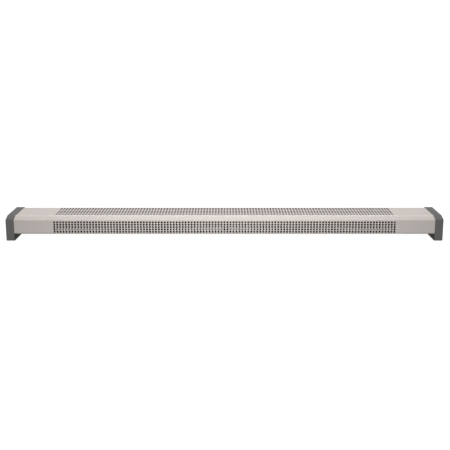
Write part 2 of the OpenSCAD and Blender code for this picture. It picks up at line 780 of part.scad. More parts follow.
module earth_stud() {
  color([0.8, 0.66, 0.36]) translate([stud_x, stud_y, floor_z]) {
    cylinder(d = washer_d, h = washer_t, $fn = round_fn);
    cylinder(d = stud_d, h = stud_l, $fn = round_fn);
  }
}

module earth_nut() {
  color([0.8, 0.66, 0.36]) translate([stud_x, stud_y, earth_ring_z + ring_t])
    linear_extrude(pin_nut_t) difference() {
      hexagon(pin_nut_across);
      circle(d = stud_d + play, $fn = round_fn);
    }
}

module cable_grommet() {
  color([0.1, 0.1, 0.1]) translate([grommet_x, tray_back_y + grommet_lip, grommet_z]) rotate([90, 0, 0])
    rotate_extrude($fn = round_fn)
      polygon([[cable_d / 2, 0], [cable_d / 2 + grommet_web + grommet_lip / 2, 0],
        [cable_d / 2 + grommet_web + grommet_lip, grommet_lip / 2],
        [cable_d / 2 + grommet_web + grommet_lip, grommet_lip], [cable_d / 2 + grommet_web, grommet_lip],
        [cable_d / 2 + grommet_web, grommet_lip + sheet_t],
        [cable_d / 2 + grommet_web + grommet_lip, grommet_lip + sheet_t],
        [cable_d / 2 + grommet_web + grommet_lip / 2, 2 * grommet_lip + sheet_t],
        [cable_d / 2, 2 * grommet_lip + sheet_t]]);
}

// Wire from p0 to p1, straight out of p0 and then bowed; side is never along it
module wire(p0, d0, p1, d1, side) {
  lead = p0 + d0 * wire_lead;
  centres = [p0, for (i = [0 : wire_steps - 1]) bow(lead, d0, p1, d1, i / (wire_steps - 1))];
  rings = [for (i = [0 : wire_steps])
    let (along = i < 2 ? d0 : i == wire_steps ? -d1 : unit(centres[i + 1] - centres[i - 1]),
      u = unit(cross(along, side)), v = cross(along, u))
    for (k = [0 : wire_sides - 1])
      centres[i] + wire_d / 2 * (u * cos(360 * k / wire_sides) + v * sin(360 * k / wire_sides))];
  quads = [for (i = [0 : wire_steps - 1], k = [0 : wire_sides - 1])
    let (a = i * wire_sides + k, b = i * wire_sides + (k + 1) % wire_sides)
    each [[a, a + wire_sides, b + wire_sides], [a, b + wire_sides, b]]];
  polyhedron(rings, concat(quads, [[for (k = [0 : wire_sides - 1]) k],
    [for (k = [wire_sides - 1 : -1 : 0]) wire_steps * wire_sides + k]]));
}

// Where the wires end: in the block's ways, on the cut-out's tabs, on the pins and on the stud
function way_point(i) = [block_x - clamp_l / 2 + wire_in, way_ys[i], clamp_z];
function tab_point(side) = [tab_x + receptacle_l + barrel_l, element_y + side * tab_gap / 2, cutout_z];
function pin_point(i) =
  [pin_ring_x + ring_t - barrel_d / 2, leg_ys[i], element_z + ring_d / 2 + ring_neck + barrel_l];
earth_point = [stud_x + ring_d / 2 + ring_neck + barrel_l, stud_y, earth_ring_z + barrel_d / 2];

module live_wire() {
  color([0.42, 0.26, 0.16]) wire(way_point(1), [-1, 0, 0], tab_point(-1), [1, 0, 0], [0, 1, 0]);
}

module link_wire() {
  color([0.42, 0.26, 0.16]) wire(tab_point(1), [1, 0, 0], pin_point(1), [0, 0, 1], [0, 1, 0]);
}

module neutral_wire() {
  color([0.2, 0.35, 0.62]) wire(way_point(0), [-1, 0, 0], pin_point(0), [0, 0, 1], [0, 1, 0]);
}

module earth_wire() {
  color([0.45, 0.6, 0.2]) wire(way_point(2), [-1, 0, 0], earth_point, [1, 0, 0], [0, 0, 1]);
}

// Flat ring on a stud with a barrel for the wire: ring in the xy plane, barrel towards +X
module ring_terminal() {
  linear_extrude(ring_t) difference() {
    union() {
      circle(d = ring_d, $fn = round_fn);
      translate([0, -barrel_d / 2]) square([ring_d / 2 + ring_neck, barrel_d]);
    }
    circle(d = pin_d + play, $fn = round_fn);
  }
  translate([ring_d / 2 + ring_neck, 0, barrel_d / 2]) bar_x(barrel_d, barrel_l);
}

module ring_terminals() {
  color([0.75, 0.76, 0.78]) {
    translate([stud_x, stud_y, earth_ring_z]) ring_terminal();
    for (y = leg_ys) translate([pin_ring_x + ring_t, y, element_z]) rotate([0, -90, 0]) ring_terminal();
  }
}

// Receptacles pushed on the cut-out's tabs
module tab_receptacles() {
  color([0.75, 0.76, 0.78]) for (side = [-1, 1])
    translate([tab_x, element_y + side * tab_gap / 2, cutout_z]) {
      difference() {
        translate([receptacle_gap, -receptacle_h / 2, -tab_w / 2 - tab_t])
          cube([receptacle_l - receptacle_gap, receptacle_h, tab_w + 2 * tab_t]);
        translate([0, -tab_t / 2 - play, -tab_w / 2 - play])
          cube([tab_l + play, tab_t + 2 * play, tab_w + 2 * play]);
      }
      translate([receptacle_l, 0, 0]) bar_x(barrel_d, barrel_l);
    }
}

// Screws through the end plates into the caps
module cap_screws() {
  color([0.75, 0.76, 0.78]) for (side = [0, 1]) mirror([side, 0, 0])
    for (p = boss_yzs) translate([end_plate_x - sheet_t, p.x, p.y]) rotate([0, 90, 0])
      screw(screw_d - play, screw_head_d, screw_head_h, screw_l);
}

// Screws through the cover's two lips into the tray
module cover_screws() {
  color([0.75, 0.76, 0.78]) for (x = cover_screw_xs) {
    translate([x, lip_screw_y, casing_gap]) screw(screw_d - play, screw_head_d, screw_head_h, screw_l);
    translate([x, back_y, rear_screw_z]) rotate([90, 0, 0])
      screw(screw_d - play, screw_head_d, screw_head_h, screw_l);
  }
}

module cutout_screws() {
  color([0.75, 0.76, 0.78]) for (side = [-1, 1])
    translate([cutout_face_x + cutout_flange_t, element_y + side * cutout_screw_gap / 2, cutout_z])
      rotate([0, -90, 0]) screw(small_screw_d - play, small_head_d, small_head_h, short_screw_l);
}

module block_screws() {
  color([0.75, 0.76, 0.78]) for (side = [-1, 1])
    translate([block_x, block_y + side * block_screw_gap / 2, floor_z + nest + block_h])
      rotate([180, 0, 0]) screw(small_screw_d - play, small_head_d, small_head_h, block_h + 2 * sheet_t);
}

// Rivets through the tray and the plates' flanges
module plate_rivets() {
  color([0.75, 0.76, 0.78]) for (x = flange_xs, y = flange_rivet_ys)
    translate([x, y, tray_z]) rivet(2 * sheet_t + nest);
}

module bracket_rivets() {
  color([0.75, 0.76, 0.78]) for (x = bracket_xs, side = [-1, 1])
    translate([x + bracket_foot / 2, element_y + side * bracket_rivet_y, tray_z])
      rivet(sheet_t + nest + bracket_t);
}

module shield_rivets() {
  color([0.75, 0.76, 0.78]) for (x = shield_rivet_xs, z = shield_rivet_zs)
    translate([x, tray_back_y, z]) rotate([90, 0, 0]) rivet(sheet_t + shield_t);
}

perforated_cover();
chassis_tray();
left_end_cap();
right_end_cap();
foot_pads();
left_end_plate();
right_end_plate();
left_partition();
right_partition();
heat_shield();
element_sheath();
element_fins();
element_bushes();
element_nuts();
element_insulators();
element_pins();
pin_nuts();
left_element_bracket();
middle_element_bracket();
right_element_bracket();
thermal_cutout();
terminal_block();
terminal_clamps();
terminal_screws();
earth_stud();
earth_nut();
cable_grommet();
live_wire();
link_wire();
neutral_wire();
earth_wire();
ring_terminals();
tab_receptacles();
cap_screws();
cover_screws();
cutout_screws();
block_screws();
plate_rivets();
bracket_rivets();
shield_rivets();
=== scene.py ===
# Plinth heater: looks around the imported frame. Metres, front towards -Y, floor at z = 0.
import json
import math
import bpy
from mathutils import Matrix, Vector


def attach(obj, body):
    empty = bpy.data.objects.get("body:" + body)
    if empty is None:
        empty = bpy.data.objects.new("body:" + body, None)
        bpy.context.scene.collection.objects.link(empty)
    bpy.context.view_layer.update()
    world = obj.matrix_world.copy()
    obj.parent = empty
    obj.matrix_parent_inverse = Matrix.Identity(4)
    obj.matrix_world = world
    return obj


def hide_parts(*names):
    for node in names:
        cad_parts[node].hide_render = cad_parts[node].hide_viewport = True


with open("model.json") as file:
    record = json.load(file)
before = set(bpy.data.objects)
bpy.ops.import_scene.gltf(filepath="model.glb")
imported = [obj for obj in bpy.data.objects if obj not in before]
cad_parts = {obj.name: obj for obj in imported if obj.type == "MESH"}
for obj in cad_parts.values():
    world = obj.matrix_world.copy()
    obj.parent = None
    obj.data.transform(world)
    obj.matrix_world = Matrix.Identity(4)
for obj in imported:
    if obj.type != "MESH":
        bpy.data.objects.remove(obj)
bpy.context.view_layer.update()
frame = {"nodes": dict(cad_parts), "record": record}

print("frame loaded", len(frame["nodes"]), "nodes")

# Camera: a level-ish view from high in front, shifted so that the heater sits mid-frame
view = {
    "lens": 29.557,
    "sensor": 36.0,
    "pitch": math.radians(5.59),
    "distance": 1.213,
    "height": 0.717,
    "aside": 0.0017,
    "shift": -0.36,
}

# Studio: pale floor, white surround, a low panel in front of the middle and a long strip overhead
studio = {
    "floorSize": 60.0,
    "floorColor": (0.22, 0.22, 0.22, 1.0),
    "floorGlow": 0.96,
    "fillStrength": 0.28,
    "fillColor": (1.0, 0.99, 0.98, 1.0),
}
lamps = {
    "frontPanel": {"place": (0.0, -1.15, 0.17), "size": (0.5, 0.30), "power": 9.5},
    "topStrip": {"place": (0.0, 0.19, 1.10), "size": (2.2, 0.35), "power": 12.4},
}


def makeCamera():
    data = bpy.data.cameras.new("photoCamera")
    data.lens = view["lens"]
    data.sensor_width = view["sensor"]
    data.sensor_fit = "HORIZONTAL"
    data.shift_y = view["shift"]
    data.clip_end = 60.0
    data.dof.use_dof = False
    camera = bpy.data.objects.new("photoCamera", data)
    camera.location = (view["aside"], -view["distance"], view["height"])
    camera.rotation_euler = (math.pi / 2 - view["pitch"], 0.0, 0.0)
    bpy.context.scene.collection.objects.link(camera)
    bpy.context.scene.camera = camera


# 1 for rays that show a surface directly, in a reflection or through glass
def seenRays(tree):
    rays = tree.nodes.new("ShaderNodeLightPath")
    seen = rays.outputs["Is Camera Ray"]
    for label in ("Is Glossy Ray", "Is Transmission Ray"):
        either = tree.nodes.new("ShaderNodeMath")
        either.operation = "MAXIMUM"
        tree.links.new(seen, either.inputs[0])
        tree.links.new(rays.outputs[label], either.inputs[1])
        seen = either.outputs[0]
    return seen


def makeWorld():
    world = bpy.data.worlds.new("studioWorld")
    world.use_nodes = True
    bpy.context.scene.world = world
    tree = world.node_tree
    tree.nodes.clear()
    out = tree.nodes.new("ShaderNodeOutputWorld")
    fill = tree.nodes.new("ShaderNodeBackground")
    fill.inputs["Color"].default_value = studio["fillColor"]
    fill.inputs["Strength"].default_value = studio["fillStrength"]
    white = tree.nodes.new("ShaderNodeBackground")
    white.inputs["Color"].default_value = (1.0, 1.0, 1.0, 1.0)
    white.inputs["Strength"].default_value = 1.0
    mix = tree.nodes.new("ShaderNodeMixShader")
    tree.links.new(seenRays(tree), mix.inputs[0])
    tree.links.new(fill.outputs[0], mix.inputs[1])
    tree.links.new(white.outputs[0], mix.inputs[2])
    tree.links.new(mix.outputs[0], out.inputs["Surface"])


def makeFloor():
    bpy.ops.mesh.primitive_plane_add(size=studio["floorSize"], location=(0.0, 0.0, 0.0))
    floor = bpy.context.active_object
    floor.name = "studioFloor"
    material = bpy.data.materials.new("studioFloor")
    material.use_nodes = True
    tree = material.node_tree
    tree.nodes.clear()
    out = tree.nodes.new("ShaderNodeOutputMaterial")
    matt = tree.nodes.new("ShaderNodeBsdfDiffuse")
    matt.inputs["Color"].default_value = studio["floorColor"]
    glow = tree.nodes.new("ShaderNodeEmission")
    glow.inputs["Color"].default_value = (1.0, 1.0, 1.0, 1.0)
    lift = tree.nodes.new("ShaderNodeMath")
    lift.operation = "MULTIPLY"
    lift.inputs[1].default_value = studio["floorGlow"]
    both = tree.nodes.new("ShaderNodeAddShader")
    tree.links.new(seenRays(tree), lift.inputs[0])
    tree.links.new(lift.outputs[0], glow.inputs["Strength"])
    tree.links.new(matt.outputs[0], both.inputs[0])
    tree.links.new(glow.outputs[0], both.inputs[1])
    tree.links.new(both.outputs[0], out.inputs["Surface"])
    floor.data.materials.append(material)


def makeLamp(name, lamp):
    data = bpy.data.lights.new(name, "AREA")
    data.shape = "RECTANGLE"
    data.size, data.size_y = lamp["size"]
    data.energy = lamp["power"]
    panel = bpy.data.objects.new(name, data)
    panel.location = lamp["place"]
    aim = Vector((0.0, 0.0, 0.05)) - panel.location
    panel.rotation_euler = aim.to_track_quat("-Z", "Y").to_euler()
    bpy.context.scene.collection.objects.link(panel)


makeCamera()
makeWorld()
makeFloor()
for name, lamp in lamps.items():
    makeLamp(name, lamp)
bpy.context.scene.view_settings.view_transform = "Standard"
print("studio ready")


# Shader node groups: each gives a mask, a colour or a height that changes over the surface

# Scale, detail and roughness of the noises
clouds = {
    "mottle": (7.0, 4.0, 0.6),
    "edgeBreaks": (160.0, 3.0, 0.6),
    "foldBreaks": (40.0, 3.0, 0.5),
    "dust": (22.0, 5.0, 0.65),
    "stainLine": (30.0, 4.0, 0.6),
    "metalPatches": (18.0, 4.0, 0.6),
}

def newGroup(name, inputs, outputs):
    group = bpy.data.node_groups.new(name, "ShaderNodeTree")
    for label, kind, value in inputs:
        socket = group.interface.new_socket(label, in_out="INPUT", socket_type=kind)
        socket.default_value = value
    for label, kind in outputs:
        group.interface.new_socket(label, in_out="OUTPUT", socket_type=kind)
    given = group.nodes.new("NodeGroupInput")
    result = group.nodes.new("NodeGroupOutput")
    return group, given, result


def addMath(tree, operation, first, second):
    node = tree.nodes.new("ShaderNodeMath")
    node.operation = operation
    for socket, value in zip(node.inputs, (first, second)):
        if isinstance(value, (int, float)):
            socket.default_value = value
        else:
            tree.links.new(value, socket)
    return node.outputs[0]


def addRange(tree, value, low, high, toLow, toHigh):
    node = tree.nodes.new("ShaderNodeMapRange")
    node.inputs["From Min"].default_value = low
    node.inputs["From Max"].default_value = high
    node.inputs["To Min"].default_value = toLow
    node.inputs["To Max"].default_value = toHigh
    tree.links.new(value, node.inputs["Value"])
    return node.outputs["Result"]


def addNoise(tree, place, scale, detail, roughness):
    node = tree.nodes.new("ShaderNodeTexNoise")
    node.inputs["Detail"].default_value = detail
    node.inputs["Roughness"].default_value = roughness
    tree.links.new(place, node.inputs["Vector"])
    if isinstance(scale, (int, float)):
        node.inputs["Scale"].default_value = scale
    else:
        tree.links.new(scale, node.inputs["Scale"])
    return node.outputs["Fac"]


def addProduct(tree, first, *factors):
    for factor in factors:
        first = addMath(tree, "MULTIPLY", first, factor)
    return first


def objectPlace(tree):
    return tree.nodes.new("ShaderNodeTexCoord").outputs["Object"]


def splitPlace(tree):
    node = tree.nodes.new("ShaderNodeSeparateXYZ")
    tree.links.new(objectPlace(tree), node.inputs[0])
    return node.outputs


# "Normal" follows the smoothed surface and "True Normal" the flat faces
def splitNormal(tree, kind):
    node = tree.nodes.new("ShaderNodeSeparateXYZ")
    surface = tree.nodes.new("ShaderNodeNewGeometry")
    tree.links.new(surface.outputs[kind], node.inputs[0])
    return node.outputs


def addCloud(tree, key):
    return addNoise(tree, objectPlace(tree), *clouds[key])


# Fine pebbled skin of a sprayed or moulded surface
def makeGrainGroup():
    group, given, result = newGroup("pebbleGrain", [("Scale", "NodeSocketFloat", 900.0)],
                                    [("Height", "NodeSocketFloat"), ("Mottle", "NodeSocketFloat")])
    place = objectPlace(group)
    fine = addNoise(group, place, given.outputs["Scale"], 3.0, 0.55)
    cells = group.nodes.new("ShaderNodeTexVoronoi")
    cells.feature = "SMOOTH_F1"
    group.links.new(place, cells.inputs["Vector"])
    group.links.new(given.outputs["Scale"], cells.inputs["Scale"])
    pebbles = addMath(group, "MULTIPLY", cells.outputs["Distance"], 0.6)
    group.links.new(addMath(group, "ADD", fine, pebbles), result.inputs["Height"])
    group.links.new(addCloud(group, "mottle"), result.inputs["Mottle"])
    return group


# Mask that is 1 along sharp edges: the rounded normal against the true one
def makeEdgeGroup():
    group, given, result = newGroup("edgeWearAndLight", [("Width", "NodeSocketFloat", 0.0008)],
                                    [("Mask", "NodeSocketFloat")])
    soft = group.nodes.new("ShaderNodeBevel")
    soft.samples = 4
    group.links.new(given.outputs["Width"], soft.inputs["Radius"])
    true = group.nodes.new("ShaderNodeNewGeometry")
    dot = group.nodes.new("ShaderNodeVectorMath")
    dot.operation = "DOT_PRODUCT"
    group.links.new(soft.outputs["Normal"], dot.inputs[0])
    group.links.new(true.outputs["Normal"], dot.inputs[1])
    edge = addRange(group, dot.outputs["Value"], 0.99, 0.8, 0.0, 1.0)
    breaks = addRange(group, addCloud(group, "edgeBreaks"), 0.35, 0.6, 0.3, 1.0)
    group.links.new(addProduct(group, edge, breaks), result.inputs["Mask"])
    return group


# Soft band along a fold that runs the length of the heater, at a given Y and Z; the casing uses it for
# painted highlight and painted shade along its bends
def makeFoldGroup():
    group, given, result = newGroup("foldBand", [("Y", "NodeSocketFloat", 0.0),
                                                 ("Z", "NodeSocketFloat", 0.0),
                                                 ("Radius", "NodeSocketFloat", 0.003)],
                                    [("Mask", "NodeSocketFloat")])
    place = splitPlace(group)
    across = addMath(group, "SUBTRACT", place["Y"], given.outputs["Y"])
    above = addMath(group, "SUBTRACT", place["Z"], given.outputs["Z"])
    square = addMath(group, "ADD", addProduct(group, across, across), addProduct(group, above, above))
    share = addMath(group, "DIVIDE", addMath(group, "SQRT", square, 0.0), given.outputs["Radius"])
    near = addRange(group, share, 0.0, 1.0, 1.0, 0.0)
    breaks = addRange(group, addCloud(group, "foldBreaks"), 0.3, 0.7, 0.75, 1.0)
    group.links.new(addProduct(group, near, breaks), result.inputs["Mask"])
    return group


# Mask for faces turned downwards, for painted shade on the undersides
def makeUnderGroup():
    group, given, result = newGroup("thinUnder", [("Amount", "NodeSocketFloat", 0.5)],
                                    [("Mask", "NodeSocketFloat")])
    down = addRange(group, splitNormal(group, "Normal")["Z"], -0.1, -0.6, 0.0, 1.0)
    group.links.new(addProduct(group, down, given.outputs["Amount"]), result.inputs["Mask"])
    return group


# Masks for the walls of the punched holes, for a duller cut edge with painted shade over it: in the front
# below
# Fold they face along the front, in the top above Crest they face level
def makePunchGroup():
    group, given, result = newGroup("punchedWall", [("Fold", "NodeSocketFloat", 0.072),
                                                    ("Crest", "NodeSocketFloat", 0.082),
                                                    ("Back", "NodeSocketFloat", 0.0325)],
                                    [("Front", "NodeSocketFloat"), ("Top", "NodeSocketFloat")])
    place = splitPlace(group)
    normal = splitNormal(group, "True Normal")
    level = addMath(group, "LESS_THAN", addMath(group, "ABSOLUTE", normal["Y"], 0.0), 0.5)
    upright = addMath(group, "LESS_THAN", addMath(group, "ABSOLUTE", normal["Z"], 0.0), 0.5)
    low = addMath(group, "LESS_THAN", place["Z"], given.outputs["Fold"])
    high = addMath(group, "GREATER_THAN", place["Z"], given.outputs["Crest"])
    inner = addMath(group, "LESS_THAN", place["Y"], given.outputs["Back"])
    group.links.new(addProduct(group, low, level), result.inputs["Front"])
    group.links.new(addProduct(group, high, inner, upright), result.inputs["Top"])
    return group


# Painted shade on the feet's inner sides, low down and facing the middle
def makeFootGroup():
    group, given, result = newGroup("footShade", [("Reach", "NodeSocketFloat", 0.708),
                                                  ("Height", "NodeSocketFloat", 0.0255)],
                                    [("Mask", "NodeSocketFloat")])
    place = splitPlace(group)
    normal = splitNormal(group, "True Normal")
    side = addMath(group, "GREATER_THAN", addMath(group, "ABSOLUTE", normal["X"], 0.0), 0.6)
    along = addMath(group, "ABSOLUTE", place["X"], 0.0)
    inner = addMath(group, "LESS_THAN", along, given.outputs["Reach"])
    low = addMath(group, "LESS_THAN", place["Z"], given.outputs["Height"])
    group.links.new(addProduct(group, side, inner, low), result.inputs["Mask"])
    return group


# Thin dust that lies on faces turned upwards
def makeDustGroup():
    group, given, result = newGroup("dustFall", [("Amount", "NodeSocketFloat", 0.2)],
                                    [("Mask", "NodeSocketFloat")])
    up = addRange(group, splitNormal(group, "Normal")["Z"], 0.3, 1.0, 0.0, 1.0)
    drift = addRange(group, addCloud(group, "dust"), 0.35, 0.75, 0.0, 1.0)
    group.links.new(addProduct(group, up, drift, given.outputs["Amount"]), result.inputs["Mask"])
    return group


# Mask of the dark stain that the element's heat leaves, up to a ragged line
def makeStainGroup():
    group, given, result = newGroup("heatStain", [("Top", "NodeSocketFloat", 0.058),
                                                  ("Fade", "NodeSocketFloat", 0.006),
                                                  ("Ragged", "NodeSocketFloat", 0.008)],
                                    [("Mask", "NodeSocketFloat")])
    ragged = addProduct(group, addCloud(group, "stainLine"), given.outputs["Ragged"])
    height = addMath(group, "ADD", splitPlace(group)["Z"], ragged)
    above = addMath(group, "DIVIDE", addMath(group, "SUBTRACT", height, given.outputs["Top"]),
                    given.outputs["Fade"])
    group.links.new(addRange(group, above, 0.0, 1.0, 1.0, 0.0), result.inputs["Mask"])
    return group


# Long fine lines of rolled or drawn metal, along X
def makeStreakGroup():
    group, given, result = newGroup("rolledLines", [("Scale", "NodeSocketFloat", 260.0)],
                                    [("Height", "NodeSocketFloat"), ("Patches", "NodeSocketFloat")])
    stretch = group.nodes.new("ShaderNodeMapping")
    stretch.inputs["Scale"].default_value = (0.02, 1.0, 1.0)
    group.links.new(objectPlace(group), stretch.inputs["Vector"])
    group.links.new(addNoise(group, stretch.outputs["Vector"], given.outputs["Scale"], 4.0, 0.6),
                    result.inputs["Height"])
    group.links.new(addCloud(group, "metalPatches"), result.inputs["Patches"])
    return group


groups = {
    "grain": makeGrainGroup(),
    "edge": makeEdgeGroup(),
    "fold": makeFoldGroup(),
    "under": makeUnderGroup(),
    "punch": makePunchGroup(),
    "foot": makeFootGroup(),
    "dust": makeDustGroup(),
    "stain": makeStainGroup(),
    "streak": makeStreakGroup(),
}
print("node groups ready")


def startMaterial(name):
    material = bpy.data.materials.new(name)
    material.use_nodes = True
    tree = material.node_tree
    return material, tree, tree.nodes["Principled BSDF"]


def addGroup(tree, key, **values):
    node = tree.nodes.new("ShaderNodeGroup")
    node.node_tree = groups[key]
    for label, value in values.items():
        node.inputs[label].default_value = value
    return node


def addMix(tree, factor, first, second):
    node = tree.nodes.new("ShaderNodeMix")
    node.data_type = "RGBA"
    tree.links.new(factor, node.inputs[0])
    for socket, value in ((node.inputs[6], first), (node.inputs[7], second)):
        if isinstance(value, tuple):
            socket.default_value = (*value, 1.0)
        else:
            tree.links.new(value, socket)
    return node.outputs[2]


def addBump(tree, shader, height, strength, distance):
    bump = tree.nodes.new("ShaderNodeBump")
    bump.inputs["Strength"].default_value = strength
    bump.inputs["Distance"].default_value = distance
    tree.links.new(height, bump.inputs["Height"])
    tree.links.new(bump.outputs["Normal"], shader.inputs["Normal"])


# Sprayed or moulded finish: two close tones, pebbled skin, an edge tone and a little dust; the edge tone
# is rubbed wear on most coatings, painted highlight on the casing and painted shade on the caps
coatings = {
    "casing_paint": {"tones": ((0.603, 0.555, 0.528), (0.634, 0.587, 0.560)), "rough": (0.36, 0.46),
                     # edge: painted highlight along the casing's edges and hole rims
                     "grain": 1300.0, "bump": 0.10, "depth": 0.0002, "edge": (0.76, 0.71, 0.68),
                     # under: painted shade on faces turned downwards
                     "edgeWidth": 0.0010, "dust": 0.05, "under": 0.75, "underShadeTone": (0.16, 0.148, 0.142),
                     # punch: duller cut edge with painted shade in the hole walls
                     "punch": {"Front": (0.10, 0.093, 0.089), "Top": (0.42, 0.385, 0.365)},
                     "specular": 0.3,
                     # folds: painted highlight along the top crease, painted shade along the bottom bend
                     # and along the rear top edge
                     "folds": (((-0.0237, 0.0833, 0.0024), (0.80, 0.75, 0.72)),
                               ((-0.0347, 0.0250, 0.0052), (0.12, 0.11, 0.106)),
                               ((0.0330, 0.0835, 0.0030), (0.42, 0.385, 0.368)))},
    "chassis_enamel": {"tones": ((0.036, 0.036, 0.037), (0.052, 0.052, 0.053)), "rough": (0.34, 0.46),
                       "grain": 1200.0, "bump": 0.10, "depth": 0.0002, "edge": (0.10, 0.10, 0.10),
                       "edgeWidth": 0.0004, "dust": 0.06, "specular": 0.3},
    "cap_plastic": {"tones": ((0.138, 0.136, 0.135), (0.160, 0.157, 0.155)), "rough": (0.50, 0.62),
                    # edge: painted shade on the cap rims
                    "grain": 1700.0, "bump": 0.25, "depth": 0.0002, "edge": (0.040, 0.039, 0.039),
                    # foot: painted shade on the feet's inner sides
                    "edgeWidth": 0.0014, "dust": 0.02, "foot": (0.020, 0.019, 0.019),
                    "specular": 0.18},
    "black_rubber": {"tones": ((0.022, 0.022, 0.022), (0.034, 0.033, 0.032)), "rough": (0.72, 0.85),
                     "grain": 1100.0, "bump": 0.30, "depth": 0.0002, "edge": (0.06, 0.06, 0.06),
                     "edgeWidth": 0.0006, "dust": 0.15},
    "dark_phenolic": {"tones": ((0.045, 0.037, 0.033), (0.062, 0.050, 0.044)), "rough": (0.34, 0.44),
                      "grain": 900.0, "bump": 0.12, "depth": 0.0001, "edge": (0.09, 0.075, 0.065),
                      "edgeWidth": 0.0004, "dust": 0.10},
    "cream_nylon": {"tones": ((0.70, 0.65, 0.53), (0.75, 0.70, 0.58)), "rough": (0.40, 0.50),
                    "grain": 800.0, "bump": 0.08, "depth": 0.0001, "edge": (0.80, 0.76, 0.66),
                    "edgeWidth": 0.0004, "dust": 0.10},
    "white_ceramic": {"tones": ((0.76, 0.73, 0.68), (0.82, 0.80, 0.76)), "rough": (0.50, 0.62),
                      "grain": 1500.0, "bump": 0.18, "depth": 0.0001, "edge": (0.70, 0.66, 0.60),
                      "edgeWidth": 0.0003, "dust": 0.10},
    "brown_insulation": {"tones": ((0.055, 0.022, 0.011), (0.075, 0.031, 0.016)), "rough": (0.38, 0.48),
                         "grain": 700.0, "bump": 0.06, "depth": 0.0001, "edge": (0.10, 0.045, 0.024),
                         "edgeWidth": 0.0003, "dust": 0.12},
    "blue_insulation": {"tones": ((0.012, 0.045, 0.180), (0.018, 0.060, 0.225)), "rough": (0.38, 0.48),
                        "grain": 700.0, "bump": 0.06, "depth": 0.0001, "edge": (0.04, 0.10, 0.28),
                        "edgeWidth": 0.0003, "dust": 0.12},
    "green_insulation": {"tones": ((0.050, 0.150, 0.012), (0.070, 0.190, 0.018)), "rough": (0.38, 0.48),
                         "grain": 700.0, "bump": 0.06, "depth": 0.0001, "edge": (0.12, 0.24, 0.05),
                         "edgeWidth": 0.0003, "dust": 0.12},
}


# What all the coatings share: the colour of dust and how far the edge tone shows, which is wear on most
# coatings, painted highlight on the casing and painted shade on the caps
coatingCommon = {"dustTone": (0.62, 0.59, 0.55), "edgeShare": 0.7, "plainSpecular": 0.5}


def makeCoating(slot, look):
    material, tree, shader = startMaterial(slot)
    grain = addGroup(tree, "grain", Scale=look["grain"])
    edge = addGroup(tree, "edge", Width=look["edgeWidth"])
    dust = addGroup(tree, "dust", Amount=look["dust"])
    tone = addMix(tree, grain.outputs["Mottle"], *look["tones"])
    # Bands of painted highlight and painted shade along the casing's folds
    for (y, z, radius), band in look.get("folds", ()):
        fold = addGroup(tree, "fold", Y=y, Z=z, Radius=radius)
        tone = addMix(tree, fold.outputs["Mask"], tone, band)
    # Painted shade on faces turned downwards
    if "under" in look:
        under = addGroup(tree, "under", Amount=look["under"])
        tone = addMix(tree, under.outputs["Mask"], tone, look["underShadeTone"])
    # The edge tone is rubbed wear on most coatings, painted highlight on the casing and painted shade on
    # the caps
    edgeTint = addMath(tree, "MULTIPLY", edge.outputs["Mask"], coatingCommon["edgeShare"])
    edgeTinted = addMix(tree, edgeTint, tone, look["edge"])
    surface = addMix(tree, dust.outputs["Mask"], edgeTinted, coatingCommon["dustTone"])
    # Hole walls: a duller cut edge with painted shade
    if "punch" in look:
        punch = addGroup(tree, "punch")
        for label, wall in look["punch"].items():
            surface = addMix(tree, punch.outputs[label], surface, wall)
    # Painted shade on the feet's inner sides
    if "foot" in look:
        surface = addMix(tree, addGroup(tree, "foot").outputs["Mask"], surface, look["foot"])
    tree.links.new(surface, shader.inputs["Base Color"])
    tree.links.new(addRange(tree, grain.outputs["Mottle"], 0.3, 0.7, *look["rough"]),
                   shader.inputs["Roughness"])
    shader.inputs["Specular IOR Level"].default_value = look.get("specular", coatingCommon["plainSpecular"])
    addBump(tree, shader, grain.outputs["Height"], look["bump"], look["depth"])
    return material


# Bare metals: drawn lines and duller patches
lineDepth = 0.0002
metals = {
    "shield_aluminium": {"tones": ((0.27, 0.27, 0.27), (0.34, 0.34, 0.34)), "rough": (0.42, 0.56),
                         "scale": 260.0, "bump": 0.05, "stain": (0.038, 0.035, 0.033)},
    "sheath_steel": {"tones": ((0.10, 0.09, 0.08), (0.17, 0.155, 0.14)), "rough": (0.40, 0.58),
                     "scale": 200.0, "bump": 0.08},
    "fin_steel": {"tones": ((0.022, 0.022, 0.024), (0.038, 0.038, 0.040)), "rough": (0.46, 0.60),
                  "scale": 300.0, "bump": 0.05},
    "brass_fittings": {"tones": ((0.52, 0.36, 0.13), (0.66, 0.47, 0.19)), "rough": (0.28, 0.44),
                       "scale": 350.0, "bump": 0.06},
    "plated_steel": {"tones": ((0.52, 0.53, 0.55), (0.66, 0.67, 0.68)), "rough": (0.25, 0.40),
                     "scale": 320.0, "bump": 0.05},
}


def makeMetal(slot, look):
    material, tree, shader = startMaterial(slot)
    lines = addGroup(tree, "streak", Scale=look["scale"])
    patches = lines.outputs["Patches"]
    tone = addMix(tree, patches, *look["tones"])
    if "stain" in look:
        tone = addMix(tree, addGroup(tree, "stain").outputs["Mask"], tone, look["stain"])
    tree.links.new(tone, shader.inputs["Base Color"])
    tree.links.new(addRange(tree, patches, 0.2, 0.8, *look["rough"]), shader.inputs["Roughness"])
    shader.inputs["Metallic"].default_value = 1.0
    addBump(tree, shader, lines.outputs["Height"], look["bump"], lineDepth)
    return material


finishes = {slot: makeCoating(slot, look) for slot, look in coatings.items()}
finishes.update({slot: makeMetal(slot, look) for slot, look in metals.items()})
print("finishes ready", len(finishes))


def dressNodes():
    slots = {part["node"]: part["material_slot"] for part in frame["record"]["subparts"]}
    for name, node in frame["nodes"].items():
        for place in node.material_slots:
            place.material = finishes[slots[name]]


dressNodes()
print("nodes dressed")


# Helpers for the pieces modelled here

